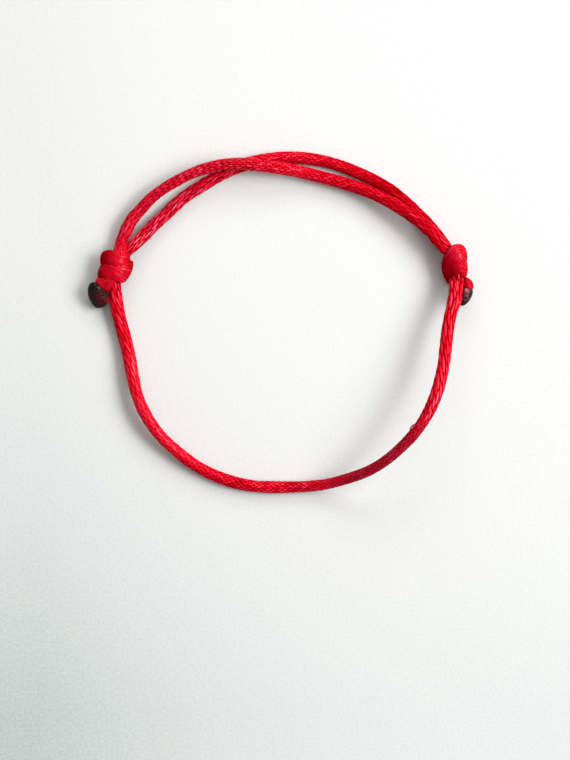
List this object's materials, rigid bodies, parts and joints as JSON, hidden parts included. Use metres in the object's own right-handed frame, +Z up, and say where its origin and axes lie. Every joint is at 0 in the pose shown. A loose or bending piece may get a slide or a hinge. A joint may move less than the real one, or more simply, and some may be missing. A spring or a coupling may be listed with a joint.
{
  "type": "cord bracelet",
  "caption": "Adjustable drawstring bracelet of satin cord: a round loop closed by sliding knots, its cut ends melted to dark beads.",
  "frame": {"origin": "on the surface the bracelet lies on, under the middle of its box", "axes": "+Z up from the surface, which is also the way a hand goes through the loop; +Y towards the doubled strands; +X from the left knot towards the right knot"},
  "size_m": [0.0643, 0.0567, 0.0095],
  "materials": {
    "satin_cord": "satin",
    "melted_cord": "gloss"
  },
  "bodies": {
    "root": {"wrist_strand": "satin_cord", "over_strand": "satin_cord", "under_strand": "satin_cord", "left_knot": "satin_cord", "right_knot": "satin_cord", "left_melted_end": "melted_cord", "right_melted_end": "melted_cord"}
  },
  "joints": []
}
